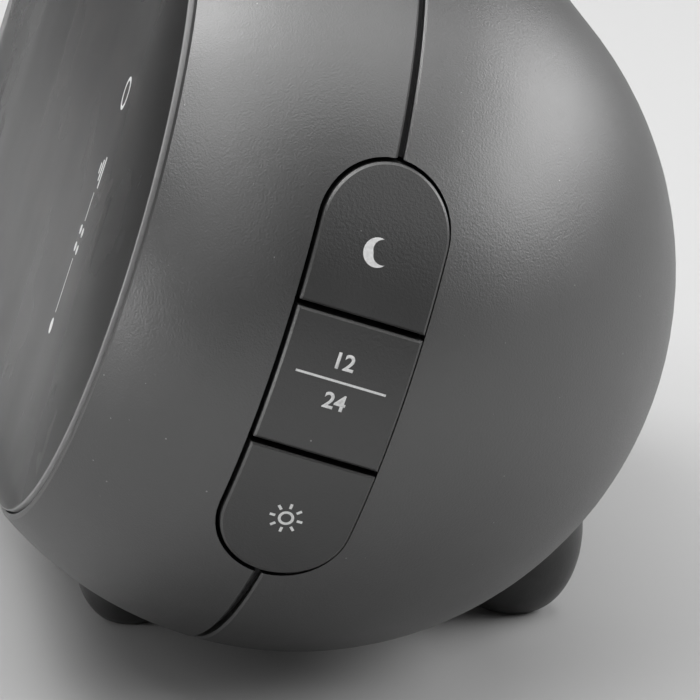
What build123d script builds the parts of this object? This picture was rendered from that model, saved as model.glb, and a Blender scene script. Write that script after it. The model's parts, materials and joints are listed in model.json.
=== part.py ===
from build123d import *
import os
from math import cos, radians, sin, sqrt

# Digital alarm clock: a barrel-shaped body with domed ends, leaning back on four feet, cut flat
# in front for a smoked window, with three keys set flush into each end and a snooze bar on top.
# Millimetres, +X to the clock's right, +Y to its back, +Z up. The origin is the middle of the
# overall box, on the surface that the feet stand on.

os.makedirs("parts", exist_ok=True)

# Body
BODY_RADIUS = 42.0
CAP_DEPTH = 50.7
BARREL_LENGTH = 84.0
BODY_TILT = 18.1
FORM_ANGLE = 55.0
FRONT_DEPTH = 23.0
UNDERSIDE_GAP = 2.0
WALL = 2.2
FRONT_WALL = 2.0
SEAM = 0.7
TONGUE_LENGTH = 2.0
TONGUE_THICKNESS = 1.0
EDGE_BREAK = 0.25
FIT = 0.1

# Window
WINDOW_THICKNESS = 2.2
WINDOW_PROUD = 0.6
WINDOW_LIP = 0.5
WINDOW_GAP = 0.25
WINDOW_BEVEL = 0.2

# Keys in the ends
APERTURE_WIDTH = 14.4
APERTURE_HEIGHT = 47.3
APERTURE_Y = 0.05
APERTURE_Z = -1.95
KEY_PITCH = 15.5
KEY_GAP_FRONT = 0.45
KEY_GAP_REAR = 0.25
KEY_GAP_END = 0.45
KEY_SPLIT = 0.65
KEY_PROUD = 0.1
KEY_BEVEL = 0.25
KEY_SKIN = 1.8
KEY_WALL = 1.4
FLANGE_REACH = 1.2
FLANGE_THICKNESS = 1.2
FLANGE_GAP = 0.3
STEM_RADIUS = 2.0

# Snooze bar
SNOOZE_LENGTH = 64.0
SNOOZE_WIDTH = 14.4
SNOOZE_GAP = 0.5
SNOOZE_PROUD = 0.6

# Boards and push switches
BOARD = 1.6
KEY_BOARD_CLEARANCE = 1.7
KEY_BOARD_WIDTH = 14.0
SNOOZE_BOARD_CLEARANCE = 8.0
SNOOZE_BOARD_LENGTH = 44.0
SNOOZE_BOARD_WIDTH = 16.0
SWITCH_SIDE = 6.0
SWITCH_HEIGHT = 3.5
SWITCH_WELL = 2.6
PLUNGER_RADIUS = 1.75
PLUNGER_RISE = 0.9
PLUNGER_DEPTH = 1.2
PLUNGER_CLEARANCE = 0.3
RIB = 1.5
RIB_BITE = 3.0
KEY_RIB_HEIGHT = 30.0
SNOOZE_RIB_LENGTH = 30.0

# Display
DISPLAY_WIDTH = 84.0
DISPLAY_HEIGHT = 36.0
DISPLAY_SETBACK = 0.5
SEGMENT_RAISE = 0.3
DIGIT_MARGIN_ENDS = 2.0
DIGIT_MARGIN_LEVEL = 5.0
DIGIT_SPACE = 5.5
COLON_SPACE = 6.0
SEGMENT_WIDTH = 2.6
SEGMENT_GAP = 0.5
COLON_RISE = 5.0
BOARD_STANDOFF = 7.0
DISPLAY_BOARD_MARGIN = 8.0
MAIN_BOARD_WIDTH = 100.0
MAIN_BOARD_CLEARANCE = 1.0
MAIN_BOARD_DEPTH = 8.0
BOARD_HOLE_INSET = 4.0
BOSS_RADIUS = 2.6
PILOT_RADIUS = 1.0
SCREW_HEAD_RADIUS = 2.0
SCREW_HEAD_HEIGHT = 1.4
BOARD_SCREW_LENGTH = 7.0

# Case screws, driven from the back
CASE_SCREW_X = 40.0
CASE_SCREW_CLEARANCE = 6.0
WELL_RADIUS = 3.6
WELL_WALL = 1.4
WELL_FLOOR_DEPTH = 7.0
WELL_FLOOR = 1.8
CASE_BOSS_RADIUS = 3.6
CASE_PILOT_RADIUS = 1.3
CASE_HEAD_RADIUS = 2.8
CASE_HEAD_HEIGHT = 1.9
CASE_SCREW_LENGTH = 12.0

# Loudspeaker and its grille
SPEAKER_RADIUS = 20.0
SPEAKER_RIM = 2.2
SPEAKER_RIM_THICKNESS = 1.2
SPEAKER_DEPTH = 9.0
SPEAKER_NECK = 9.0
SPEAKER_SKIN = 0.8
SPEAKER_POLE = 4.0
CONE_NECK = 5.0
CONE_DEPTH = 6.0
CONE_SKIN = 0.5
DUST_CAP_RISE = 1.4
MAGNET_RADIUS = 11.0
MAGNET_THICKNESS = 5.0
COLLAR_DEPTH = 4.0
COLLAR_WALL = 1.6
GRILLE_RADIUS = 18.0
GRILLE_THICKNESS = 1.5
GRILLE_LEDGE = 1.6
GRILLE_SLOT = 1.6
GRILLE_PITCH = 3.2
GRILLE_EDGE = 2.4

# Battery hatch underneath
HATCH_ANGLE = 66.0
HATCH_TAB = 9.0
HATCH_CORNER = 2.5
HATCH_THICKNESS = 1.6
HATCH_GAP = 0.25
HATCH_LEDGE = 2.0
CELL_RADIUS = 5.25
CELL_LENGTH = 44.5
CELL_GAP = 0.3
CELL_NUB_RADIUS = 1.9
CELL_NUB_HEIGHT = 0.8
TRAY_WALL = 1.4
TRAY_END_SPACE = 2.6
CONTACT_THICKNESS = 0.5
CONTACT_SIDE = 7.0
CONTACT_DIMPLE_RADIUS = 1.6
HATCH_SCREW_RADIUS = 1.1
HATCH_SCREW_HEAD = 2.2
HATCH_SCREW_HEAD_HEIGHT = 0.9
HATCH_SCREW_LENGTH = 7.0

# Power inlet
INLET_X = 36.0
INLET_Z = -8.0
INLET_POCKET_RADIUS = 6.2
INLET_POCKET_DEPTH = 0.6
INLET_FLOOR = 2.4
INLET_WALL = 1.6
JACK_RADIUS = 4.0
JACK_BORE = 3.1
JACK_LENGTH = 12.0
JACK_BORE_DEPTH = 9.5
JACK_COLLAR_RADIUS = 5.5
JACK_COLLAR = 1.5
JACK_PIN_RADIUS = 1.05
JACK_PIN_LENGTH = 8.5

# Feet
FOOT_X = 27.5
FRONT_FOOT_Y = -17.1
FRONT_SOLE_RADIUS = 1.2
FRONT_FLARE = 5.0
FRONT_FLARE_HEIGHT = 7.6
REAR_FOOT_Y = 26.55
REAR_SOLE_RADIUS = 1.6
REAR_FLARE = 6.4
REAR_FLARE_HEIGHT = 10.0
FOOT_STEM_RADIUS = 2.2
FOOT_STEM_RISE = 5.0

# Derived places
tilt = radians(BODY_TILT)
half_barrel = BARREL_LENGTH / 2
half_width = half_barrel + CAP_DEPTH
window_seat = WINDOW_THICKNESS - WINDOW_PROUD
front_half_height = sqrt(BODY_RADIUS**2 - FRONT_DEPTH**2)
front_cap = CAP_DEPTH * front_half_height / BODY_RADIUS
window_inset = WINDOW_LIP + WINDOW_GAP
window_half_height = front_half_height - window_inset
front_reach = (FRONT_DEPTH + WINDOW_PROUD - WINDOW_BEVEL) * cos(tilt) + window_half_height * sin(tilt)
reach = half_width + BODY_RADIUS

# The body's own planes: seen from above, from the front, from the back and from its right end
RIGHT = Vector(1, 0, 0)
UP = Vector(0, sin(tilt), cos(tilt))
BACK = Vector(0, cos(tilt), -sin(tilt))
CENTRE = Vector(0, (front_reach - BODY_RADIUS) / 2, BODY_RADIUS + UNDERSIDE_GAP)
TOP_VIEW = Plane(origin=CENTRE, x_dir=RIGHT, z_dir=UP)
FRONT_VIEW = Plane(origin=CENTRE, x_dir=RIGHT, z_dir=-BACK)
REAR_VIEW = Plane(origin=CENTRE, x_dir=-RIGHT, z_dir=BACK)
END_VIEW = Plane(origin=CENTRE, x_dir=BACK, z_dir=RIGHT)
hatch_tilt = radians(HATCH_ANGLE)
HATCH_VIEW = Plane(origin=CENTRE, x_dir=RIGHT, z_dir=BACK * cos(hatch_tilt) - UP * sin(hatch_tilt))
form_turn = radians(FORM_ANGLE)
FORM_VIEW = Plane(origin=CENTRE, x_dir=RIGHT, z_dir=UP * cos(form_turn) - BACK * sin(form_turn))
BODY_AXIS = Axis(CENTRE, RIGHT)


def body_form(inset, mode=Mode.ADD):
    """The barrel with its two domed ends, drawn in by inset."""
    radius = BODY_RADIUS - inset
    cap = CAP_DEPTH - inset
    with BuildSketch(FORM_VIEW) as profile:
        with BuildLine():
            EllipticalCenterArc((half_barrel, 0), cap, radius, start_angle=0, arc_size=90)
            Line((half_barrel, radius), (-half_barrel, radius))
            EllipticalCenterArc((-half_barrel, 0), cap, radius, start_angle=90, arc_size=90)
            Line((-half_barrel - cap, 0), (half_barrel + cap, 0))
        make_face()
    revolve(profile.sketch, axis=BODY_AXIS, mode=mode)


def form_slab(inset, ahead=None, behind=None):
    """The body form, drawn in by inset, between a plane ahead of the seam and one behind it."""
    with BuildPart() as slab:
        body_form(inset)
        if ahead is not None:
            split(bisect_by=FRONT_VIEW.offset(ahead), keep=Keep.BOTTOM)
        if behind is not None:
            split(bisect_by=FRONT_VIEW.offset(-behind), keep=Keep.TOP)
    return slab.part


def form_plug(outline, depth):
    """An outline raised out of the body, from depth under its surface to clear of it."""
    with BuildPart() as plug:
        extrude(outline, amount=reach)
        body_form(depth, Mode.SUBTRACT)
    return plug.part


def key_form(inset, mode=Mode.ADD):
    """The right end's side profile, drawn in by inset and straight across the keys."""
    with BuildSketch(FRONT_VIEW.offset(APERTURE_WIDTH)) as profile:
        with BuildLine():
            dome = EllipticalCenterArc(
                (half_barrel, 0), CAP_DEPTH - inset, BODY_RADIUS - inset, start_angle=-90, arc_size=180
            )
            Line(dome @ 1, dome @ 0)
        make_face()
    extrude(profile.sketch, amount=-2 * APERTURE_WIDTH, mode=mode)


def front_outline(inset, ahead):
    """The outline of the front cut, drawn in by inset, in a plane ahead of the seam."""
    height = front_half_height - inset
    cap = front_cap - inset
    with BuildSketch(FRONT_VIEW.offset(ahead)) as outline:
        with BuildLine():
            EllipticalCenterArc((half_barrel, 0), cap, height, start_angle=-90, arc_size=180)
            Line((half_barrel, height), (-half_barrel, height))
            EllipticalCenterArc((-half_barrel, 0), cap, height, start_angle=90, arc_size=180)
            Line((-half_barrel, -height), (half_barrel, -height))
        make_face()
    return outline.sketch


def aperture_outline():
    """The round-ended opening for the keys, in the end view."""
    with BuildSketch(END_VIEW) as outline:
        with Locations((APERTURE_Y, APERTURE_Z)):
            SlotOverall(APERTURE_HEIGHT, APERTURE_WIDTH, rotation=90)
    return outline.sketch


def key_outline(grow, low, high):
    """The plan of one key between two heights, grown all round by grow."""
    width = key_width + 2 * grow
    with BuildSketch(END_VIEW.offset(half_barrel)) as outline:
        with Locations((key_y, APERTURE_Z)):
            SlotOverall(key_height + 2 * grow, width, rotation=90)
        with Locations((key_y, (low + high) / 2)):
            Rectangle(width, high - low, mode=Mode.INTERSECT)
    return outline.sketch


def snooze_outline(inset, height):
    """The round-ended opening for the snooze bar, drawn in by inset, at a height over the axis."""
    with BuildSketch(TOP_VIEW.offset(height)) as outline:
        SlotOverall(SNOOZE_LENGTH - 2 * inset, SNOOZE_WIDTH - 2 * inset)
    return outline.sketch


def discs(view, places, radius):
    """Equal circles at places of a view."""
    with BuildSketch(view) as circles:
        with Locations(*places):
            Circle(radius)
    return circles.sketch


def ring(view, place, outer, inner):
    """An annulus at a place of a view."""
    with BuildSketch(view) as annulus:
        with Locations(place):
            Circle(outer)
            Circle(inner, mode=Mode.SUBTRACT)
    return annulus.sketch


def plate(view, place, width, height):
    """A rectangle at a place of a view."""
    with BuildSketch(view) as rectangle:
        with Locations(place):
            Rectangle(width, height)
    return rectangle.sketch


def hatch_outline(grow):
    """The rounded plan of the battery hatch, grown all round by grow."""
    with BuildSketch(HATCH_VIEW) as outline:
        with Locations((HATCH_TAB / 2, 0)):
            RectangleRounded(hatch_length + 2 * grow, hatch_width + 2 * grow, HATCH_CORNER + grow)
    return outline.sketch


def wall_depth(across, radius):
    """How far a round surface of this radius stands from its middle plane at across."""
    return sqrt(radius**2 - across**2)


def on_outer_form(edge):
    """True for an edge that lies on the outside of the body."""
    spot = TOP_VIEW.to_local_coords(edge @ 0.5)
    along = max(abs(spot.X) - half_barrel, 0) / CAP_DEPTH
    around = sqrt(spot.Y**2 + spot.Z**2) / BODY_RADIUS
    return abs(sqrt(along**2 + around**2) - 1) < FIT / BODY_RADIUS


def on_cut(ahead):
    """A test for edges that lie in the plane this far ahead of the seam."""
    return lambda edge: abs(TOP_VIEW.to_local_coords(edge @ 0.5).Y + ahead) < FIT


def corners_of(half_length, half_height):
    """The four corners of a rectangle about the middle of a view."""
    return [(x, z) for x in (-half_length, half_length) for z in (-half_height, half_height)]


# Depths from the seam plane: ahead of it for the front, behind it for the back
window_back = FRONT_DEPTH - window_seat
front_wall_back = window_back - FRONT_WALL
display_face = window_back - DISPLAY_SETBACK
display_board_face = front_wall_back - BOARD_STANDOFF
well_front = WELL_FLOOR_DEPTH - WELL_FLOOR
speaker_seat = wall_depth(SPEAKER_RADIUS + FIT, BODY_RADIUS - WALL) - FIT
inlet_floor = wall_depth(abs(INLET_Z) + INLET_POCKET_RADIUS, BODY_RADIUS) - INLET_POCKET_DEPTH
inlet_place = (INLET_X, INLET_Z)

# Keys: their plan, the space under the wall, and the heights that part them
key_y = APERTURE_Y + (KEY_GAP_FRONT - KEY_GAP_REAR) / 2
key_width = APERTURE_WIDTH - KEY_GAP_FRONT - KEY_GAP_REAR
key_height = APERTURE_HEIGHT - 2 * KEY_GAP_END
flange_grow = max(KEY_GAP_FRONT, KEY_GAP_REAR) + FLANGE_REACH
flange_across = abs(key_y) + key_width / 2 + flange_grow
inner_cap = CAP_DEPTH - WALL
flange_inset = WALL + FLANGE_GAP + inner_cap * (1 - wall_depth(flange_across / (BODY_RADIUS - WALL), 1))
key_base = flange_inset + FLANGE_THICKNESS
aperture_foot = APERTURE_Z - APERTURE_HEIGHT / 2
aperture_top = APERTURE_Z + APERTURE_HEIGHT / 2
flange_foot = abs(APERTURE_Z) + key_height / 2 + flange_grow
flange_rise = wall_depth(flange_foot / (BODY_RADIUS - key_base), 1)
flange_end = half_barrel + (CAP_DEPTH - key_base) * flange_rise
key_board_face = flange_end - KEY_BOARD_CLEARANCE
key_plunger_top = key_board_face + SWITCH_HEIGHT + PLUNGER_RISE

# Snooze bar: the same, measured up from the axis
snooze_flange_top = wall_depth(SNOOZE_WIDTH / 2 + FLANGE_REACH, BODY_RADIUS - WALL) - FLANGE_GAP
snooze_base = snooze_flange_top - FLANGE_THICKNESS
snooze_board_face = DISPLAY_HEIGHT / 2 + SNOOZE_BOARD_CLEARANCE
snooze_plunger_top = snooze_board_face + SWITCH_HEIGHT + PLUNGER_RISE

# Battery tray: two cells side by side under the hatch
cell_across = CELL_RADIUS + CELL_GAP / 2
cell_height = wall_depth(cell_across, BODY_RADIUS - HATCH_THICKNESS - CELL_GAP - CELL_RADIUS)
tray_floor = cell_height - CELL_RADIUS - FIT
tray_length = CELL_LENGTH + CELL_NUB_HEIGHT + 2 * TRAY_END_SPACE
tray_width = 4 * CELL_RADIUS + 3 * CELL_GAP
hatch_length = tray_length + 2 * HATCH_LEDGE + HATCH_TAB
hatch_width = tray_width + 2 * HATCH_LEDGE
hatch_seat = BODY_RADIUS - HATCH_THICKNESS
hatch_screw_place = (tray_length / 2 + HATCH_LEDGE + HATCH_TAB / 2, 0)
CELL_VIEW = Plane(origin=CENTRE, x_dir=HATCH_VIEW.z_dir, z_dir=RIGHT)

# Hole patterns
display_hole_x = DISPLAY_WIDTH / 2 + BOARD_HOLE_INSET
display_hole_z = DISPLAY_HEIGHT / 2 - BOARD_HOLE_INSET
display_holes = corners_of(display_hole_x, display_hole_z)
well_outer = WELL_RADIUS + WELL_WALL
case_screw_z = DISPLAY_HEIGHT / 2 + CASE_SCREW_CLEARANCE
main_board_height = 2 * (case_screw_z - well_outer - MAIN_BOARD_CLEARANCE)
main_hole_x = MAIN_BOARD_WIDTH / 2 - BOARD_HOLE_INSET
main_hole_z = main_board_height / 2 - BOARD_HOLE_INSET
main_holes = corners_of(main_hole_x, main_hole_z)
case_holes = corners_of(CASE_SCREW_X, case_screw_z)


def stem_places(foot_y):
    """Plan places of the two feet in one row."""
    return [(-FOOT_X, CENTRE.Y + foot_y), (FOOT_X, CENTRE.Y + foot_y)]


def stem_top(foot_y):
    """Height of the stems of a row of feet, which stand through the wall above them."""
    return CENTRE.Z - wall_depth(foot_y, BODY_RADIUS) + FOOT_STEM_RISE


def board_ribs(view, start):
    """Slotted ribs that hold the key boards and the snooze board by one edge."""
    key_edge = KEY_BOARD_WIDTH / 2 - RIB_BITE
    snooze_edge = SNOOZE_BOARD_WIDTH / 2 - RIB_BITE
    rib_offset = FIT + RIB / 2
    with BuildPart() as ribs:
        for centre in (key_board_face - BOARD - rib_offset, key_board_face + rib_offset):
            for side in (-1, 1):
                shape = plate(view.offset(key_edge), (side * centre, APERTURE_Z), RIB, KEY_RIB_HEIGHT)
                extrude(shape, amount=start - key_edge)
        for centre in (snooze_board_face - BOARD - rib_offset, snooze_board_face + rib_offset):
            shape = plate(view.offset(snooze_edge), (0, centre), SNOOZE_RIB_LENGTH, RIB)
            extrude(shape, amount=start - snooze_edge)
        body_form(WALL / 2, Mode.INTERSECT)
    return ribs.part


# Step outside the tongue of the front housing, which reaches across the seam into the rear housing
tongue_reach = SEAM / 2 + TONGUE_LENGTH
with BuildPart() as tongue_step:
    add(form_slab(-WALL, SEAM / 2, tongue_reach + WALL))
    body_form(WALL - TONGUE_THICKNESS, Mode.SUBTRACT)

# Front housing: shell from the front cut to the seam, with the wall that the window lies on
with BuildPart() as front_housing:
    add(form_slab(0, FRONT_DEPTH, tongue_reach))
    body_form(WALL, Mode.SUBTRACT)
    add(tongue_step.part, mode=Mode.SUBTRACT)
    rims = front_housing.edges().filter_by(on_outer_form)
    chamfer(rims.filter_by(on_cut(FRONT_DEPTH)) + rims.filter_by(on_cut(SEAM / 2)), EDGE_BREAK)
    extrude(aperture_outline(), amount=reach, both=True, mode=Mode.SUBTRACT)
    extrude(snooze_outline(0, 0), amount=reach, mode=Mode.SUBTRACT)
    add(form_slab(WALL / 2, window_back, -front_wall_back))
    extrude(front_outline(WINDOW_LIP, window_back), amount=reach, mode=Mode.SUBTRACT)
    opening_size = (DISPLAY_WIDTH + 2 * FIT, DISPLAY_HEIGHT + 2 * FIT)
    opening = plate(FRONT_VIEW.offset(front_wall_back), (0, 0), *opening_size)
    extrude(opening, amount=FRONT_WALL, mode=Mode.SUBTRACT)
    extrude(discs(FRONT_VIEW.offset(display_board_face), display_holes, BOSS_RADIUS), amount=BOARD_STANDOFF)
    boss_end = FIT - well_front
    case_bosses = discs(FRONT_VIEW.offset(boss_end), case_holes, CASE_BOSS_RADIUS)
    extrude(case_bosses, amount=front_wall_back - boss_end)
    add(board_ribs(FRONT_VIEW, front_wall_back))
    display_pilots = discs(FRONT_VIEW.offset(display_board_face), display_holes, PILOT_RADIUS)
    extrude(display_pilots, amount=BOARD_STANDOFF, mode=Mode.SUBTRACT)
    case_pilots = discs(FRONT_VIEW.offset(boss_end), case_holes, CASE_PILOT_RADIUS)
    extrude(case_pilots, amount=CASE_SCREW_LENGTH, mode=Mode.SUBTRACT)
    stems = discs(Plane.XY, stem_places(FRONT_FOOT_Y), FOOT_STEM_RADIUS + FIT)
    extrude(stems, amount=stem_top(FRONT_FOOT_Y) + FIT, mode=Mode.SUBTRACT)
front_housing.part.label = "front_housing"
export_step(front_housing.part, "parts/front_housing.step")

# Inside fittings of the rear housing: screw wells, bosses, speaker collar, battery tray, inlet boss
collar_inner = SPEAKER_RADIUS + FIT
inlet_back = inlet_floor - INLET_FLOOR
hatch_pilot_plane = HATCH_VIEW.offset(hatch_seat - HATCH_SCREW_LENGTH)
with BuildPart() as rear_fittings:
    extrude(discs(REAR_VIEW.offset(well_front), case_holes, well_outer), amount=reach)
    extrude(discs(REAR_VIEW.offset(MAIN_BOARD_DEPTH), main_holes, BOSS_RADIUS), amount=reach)
    collar_plane = REAR_VIEW.offset(speaker_seat - COLLAR_DEPTH)
    collar = ring(collar_plane, (0, 0), collar_inner + COLLAR_WALL, collar_inner)
    extrude(collar, amount=reach)
    seat = ring(REAR_VIEW.offset(speaker_seat), (0, 0), collar_inner + FIT, GRILLE_RADIUS - GRILLE_LEDGE)
    extrude(seat, amount=reach)
    tray_size = (tray_length + 2 * TRAY_WALL, tray_width + 2 * TRAY_WALL)
    tray = plate(HATCH_VIEW.offset(tray_floor - TRAY_WALL), (0, 0), *tray_size)
    extrude(tray, amount=reach)
    hatch_boss = discs(hatch_pilot_plane, [hatch_screw_place], BOSS_RADIUS)
    extrude(hatch_boss, amount=reach)
    inlet_boss = discs(REAR_VIEW.offset(inlet_back), [inlet_place], INLET_POCKET_RADIUS + INLET_WALL)
    extrude(inlet_boss, amount=reach)
    body_form(WALL / 2, Mode.INTERSECT)

# Rear housing: shell behind the seam with its fittings, and every opening cut into it
with BuildPart() as rear_housing:
    add(form_slab(0, ahead=-SEAM / 2))
    body_form(WALL, Mode.SUBTRACT)
    extrude(aperture_outline(), amount=reach, both=True, mode=Mode.SUBTRACT)
    extrude(snooze_outline(0, 0), amount=reach, mode=Mode.SUBTRACT)
    chamfer(rear_housing.edges().filter_by(on_outer_form).filter_by(on_cut(-SEAM / 2)), EDGE_BREAK)
    add(form_slab(WALL - TONGUE_THICKNESS - FIT, 0, tongue_reach + FIT), mode=Mode.SUBTRACT)
    add(rear_fittings.part)
    add(board_ribs(REAR_VIEW, BODY_RADIUS))
    wells = discs(REAR_VIEW.offset(WELL_FLOOR_DEPTH), case_holes, WELL_RADIUS)
    extrude(wells, amount=reach, mode=Mode.SUBTRACT)
    shank_holes = discs(REAR_VIEW.offset(well_front), case_holes, CASE_PILOT_RADIUS)
    extrude(shank_holes, amount=WELL_FLOOR, mode=Mode.SUBTRACT)
    main_pilots = discs(REAR_VIEW.offset(MAIN_BOARD_DEPTH), main_holes, PILOT_RADIUS)
    extrude(main_pilots, amount=BOARD_STANDOFF, mode=Mode.SUBTRACT)
    grille_seat = discs(REAR_VIEW, [(0, 0)], GRILLE_RADIUS + FIT)
    add(form_plug(grille_seat, GRILLE_THICKNESS + FIT), mode=Mode.SUBTRACT)
    sound = discs(REAR_VIEW.offset(speaker_seat), [(0, 0)], GRILLE_RADIUS - GRILLE_LEDGE)
    extrude(sound, amount=reach, mode=Mode.SUBTRACT)
    add(form_plug(hatch_outline(HATCH_GAP), HATCH_THICKNESS + FIT), mode=Mode.SUBTRACT)
    cell_space = plate(HATCH_VIEW.offset(tray_floor), (0, 0), tray_length, tray_width)
    extrude(cell_space, amount=reach, mode=Mode.SUBTRACT)
    hatch_pilot = discs(hatch_pilot_plane, [hatch_screw_place], HATCH_SCREW_RADIUS)
    extrude(hatch_pilot, amount=HATCH_SCREW_LENGTH, mode=Mode.SUBTRACT)
    inlet_pocket = discs(REAR_VIEW.offset(inlet_floor), [inlet_place], INLET_POCKET_RADIUS)
    extrude(inlet_pocket, amount=reach, mode=Mode.SUBTRACT)
    jack_hole = discs(REAR_VIEW.offset(inlet_back), [inlet_place], JACK_RADIUS + FIT)
    extrude(jack_hole, amount=INLET_FLOOR, mode=Mode.SUBTRACT)
    stems = discs(Plane.XY, stem_places(REAR_FOOT_Y), FOOT_STEM_RADIUS + FIT)
    extrude(stems, amount=stem_top(REAR_FOOT_Y) + FIT, mode=Mode.SUBTRACT)
rear_housing.part.label = "rear_housing"
export_step(rear_housing.part, "parts/rear_housing.step")

# Display window: flat smoked plate that lies on the front wall and stands a little proud
with BuildPart() as display_window:
    extrude(front_outline(window_inset, window_back), amount=WINDOW_THICKNESS)
    face = display_window.faces().sort_by(Axis(CENTRE, BACK))[0]
    chamfer(face.edges(), WINDOW_BEVEL)
display_window.part.label = "display_window"
export_step(display_window.part, "parts/display_window.step")

# Display: carrier block in the opening of the front wall, with the light segments on its face
with BuildPart() as display_module:
    block = plate(FRONT_VIEW.offset(display_board_face), (0, 0), DISPLAY_WIDTH, DISPLAY_HEIGHT)
    extrude(block, amount=display_face - display_board_face)
display_module.part.label = "display_module"
export_step(display_module.part, "parts/display_module.step")

digit_pitch = (DISPLAY_WIDTH - COLON_SPACE) / 4 - DIGIT_MARGIN_ENDS / 2
digit_centres = [side * (COLON_SPACE + step * digit_pitch) / 2 for side in (-1, 1) for step in (1, 3)]
bar_reach_x = (digit_pitch - DIGIT_SPACE - SEGMENT_WIDTH) / 2
bar_reach_z = (DISPLAY_HEIGHT - SEGMENT_WIDTH) / 2 - DIGIT_MARGIN_LEVEL
level_bars = [(x, z) for x in digit_centres for z in (-bar_reach_z, 0, bar_reach_z)]
upright_bars = [
    (x + side * bar_reach_x, z)
    for x in digit_centres
    for side in (-1, 1)
    for z in (-bar_reach_z / 2, bar_reach_z / 2)
]


def segments(places, length, turn):
    """Six-sided light bars of one length at places on the display's face."""
    half = length / 2
    flat = half - SEGMENT_WIDTH / 2
    edge = SEGMENT_WIDTH / 2
    corners = [(-half, 0), (-flat, -edge), (flat, -edge), (half, 0), (flat, edge), (-flat, edge)]
    with BuildSketch(FRONT_VIEW.offset(display_face)) as bars:
        with Locations(*places):
            Polygon(*corners, rotation=turn)
    return bars.sketch


with BuildPart() as digit_segments:
    extrude(segments(level_bars, 2 * bar_reach_x - SEGMENT_GAP, 0), amount=SEGMENT_RAISE)
    extrude(segments(upright_bars, bar_reach_z - SEGMENT_GAP, 90), amount=SEGMENT_RAISE)
    colon = discs(FRONT_VIEW.offset(display_face), [(0, -COLON_RISE), (0, COLON_RISE)], SEGMENT_WIDTH / 2)
    extrude(colon, amount=SEGMENT_RAISE)
digit_segments.part.label = "digit_segments"
export_step(digit_segments.part, "parts/digit_segments.step")


def board(label, view, face, place, size, holes):
    """A circuit board whose front lies at face of a view, with screw holes."""
    with BuildPart() as sheet:
        extrude(plate(view.offset(face - BOARD), place, *size), amount=BOARD)
        if holes:
            screw_holes = discs(view.offset(face - BOARD), holes, PILOT_RADIUS + FIT)
            extrude(screw_holes, amount=BOARD, mode=Mode.SUBTRACT)
    sheet.part.label = label
    return sheet.part


display_board_size = (DISPLAY_WIDTH + 2 * DISPLAY_BOARD_MARGIN, DISPLAY_HEIGHT)
display_board = board(
    "display_board", FRONT_VIEW, display_board_face, (0, 0), display_board_size, display_holes
)
export_step(display_board, "parts/display_board.step")
main_board_size = (MAIN_BOARD_WIDTH, main_board_height)
main_board = board("main_board", REAR_VIEW, MAIN_BOARD_DEPTH, (0, 0), main_board_size, main_holes)
export_step(main_board, "parts/main_board.step")


def screw(view, seat, places, head, shank):
    """Screws with their heads on a seat of a view, pointing away from the viewer, as (radius, length)."""
    extrude(discs(view.offset(seat), places, head[0]), amount=head[1])
    extrude(discs(view.offset(seat), places, shank[0]), amount=-shank[1])


board_head = (SCREW_HEAD_RADIUS, SCREW_HEAD_HEIGHT)
board_shank = (PILOT_RADIUS - FIT, BOARD_SCREW_LENGTH)
with BuildPart() as board_screws:
    screw(REAR_VIEW, BOARD - display_board_face, display_holes, board_head, board_shank)
    screw(FRONT_VIEW, BOARD - MAIN_BOARD_DEPTH, main_holes, board_head, board_shank)
board_screws.part.label = "board_screws"
export_step(board_screws.part, "parts/board_screws.step")

case_head = (CASE_HEAD_RADIUS, CASE_HEAD_HEIGHT)
case_shank = (CASE_PILOT_RADIUS - FIT, CASE_SCREW_LENGTH)
with BuildPart() as housing_screws:
    screw(REAR_VIEW, WELL_FLOOR_DEPTH, case_holes, case_head, case_shank)
housing_screws.part.label = "housing_screws"
export_step(housing_screws.part, "parts/housing_screws.step")


def turned(label, *outline):
    """A round piece of the loudspeaker from its half section: distances from axis and seat."""
    with BuildPart() as piece:
        with BuildSketch(TOP_VIEW) as section:
            with BuildLine():
                Polyline(*[(across, speaker_seat - depth) for across, depth in outline], close=True)
            make_face()
        revolve(section.sketch, axis=Axis(CENTRE, BACK))
    piece.part.label = label
    return piece.part


# Loudspeaker, seated against the inside of the rear wall
rim_inner = SPEAKER_RADIUS - SPEAKER_RIM
basket_floor = SPEAKER_DEPTH + SPEAKER_SKIN
speaker_frame = turned(
    "speaker_frame",
    (rim_inner, 0),
    (SPEAKER_RADIUS, 0),
    (SPEAKER_RADIUS, SPEAKER_RIM_THICKNESS),
    (rim_inner + SPEAKER_SKIN, SPEAKER_RIM_THICKNESS),
    (SPEAKER_NECK + SPEAKER_SKIN, basket_floor),
    (SPEAKER_POLE, basket_floor),
    (SPEAKER_POLE, SPEAKER_DEPTH),
    (SPEAKER_NECK, SPEAKER_DEPTH),
    (rim_inner, SPEAKER_RIM_THICKNESS),
)
export_step(speaker_frame, "parts/speaker_frame.step")
speaker_cone = turned(
    "speaker_cone",
    (rim_inner - FIT, CONE_SKIN),
    (CONE_NECK, CONE_DEPTH),
    (0, CONE_DEPTH - DUST_CAP_RISE),
    (0, CONE_DEPTH - DUST_CAP_RISE + CONE_SKIN),
    (CONE_NECK, CONE_DEPTH + CONE_SKIN),
    (rim_inner - FIT, 2 * CONE_SKIN),
)
export_step(speaker_cone, "parts/speaker_cone.step")
speaker_magnet = turned(
    "speaker_magnet",
    (0, basket_floor),
    (MAGNET_RADIUS, basket_floor),
    (MAGNET_RADIUS, basket_floor + MAGNET_THICKNESS),
    (0, basket_floor + MAGNET_THICKNESS),
)
export_step(speaker_magnet, "parts/speaker_magnet.step")

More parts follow.
